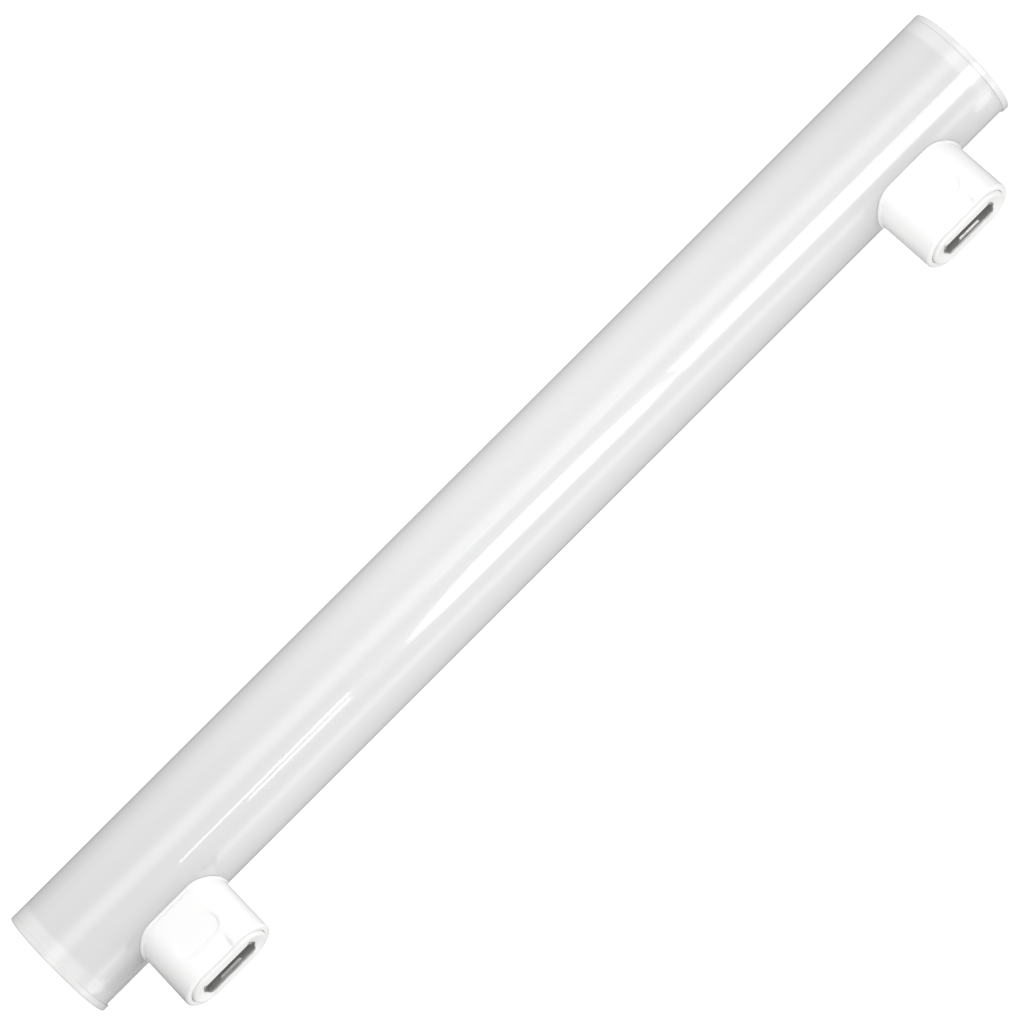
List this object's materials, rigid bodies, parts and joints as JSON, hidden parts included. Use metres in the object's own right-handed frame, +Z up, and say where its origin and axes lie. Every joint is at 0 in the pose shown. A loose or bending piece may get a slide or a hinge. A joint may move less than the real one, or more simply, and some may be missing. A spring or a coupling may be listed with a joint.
{
  "type": "tubular light bulb",
  "caption": "Linear lamp: a sealed opal tube closed by end plugs, with an oblong plug-in side cap near each end that carries a slotted contact.",
  "frame": {"origin": "under the middle of the lamp's box, on the surface that the lamp lies on", "axes": "+X along the tube to the right, +Y away from the side caps, +Z up"},
  "size_m": [0.3, 0.0476, 0.0305],
  "materials": {
    "opal_tube": "glossy opal, milky right through",
    "white_plug": "smooth white moulding",
    "white_cap": "smooth glossy white moulding",
    "white_carrier": "smooth white moulding",
    "nickel_contact": "dull nickel-plated sheet"
  },
  "bodies": {
    "root": {"opal_tube": "opal_tube", "left_end_plug": "white_plug", "right_end_plug": "white_plug", "left_side_cap": "white_cap", "right_side_cap": "white_cap", "left_contact_carrier": "white_carrier", "right_contact_carrier": "white_carrier", "left_contact": "nickel_contact", "right_contact": "nickel_contact"}
  },
  "joints": []
}
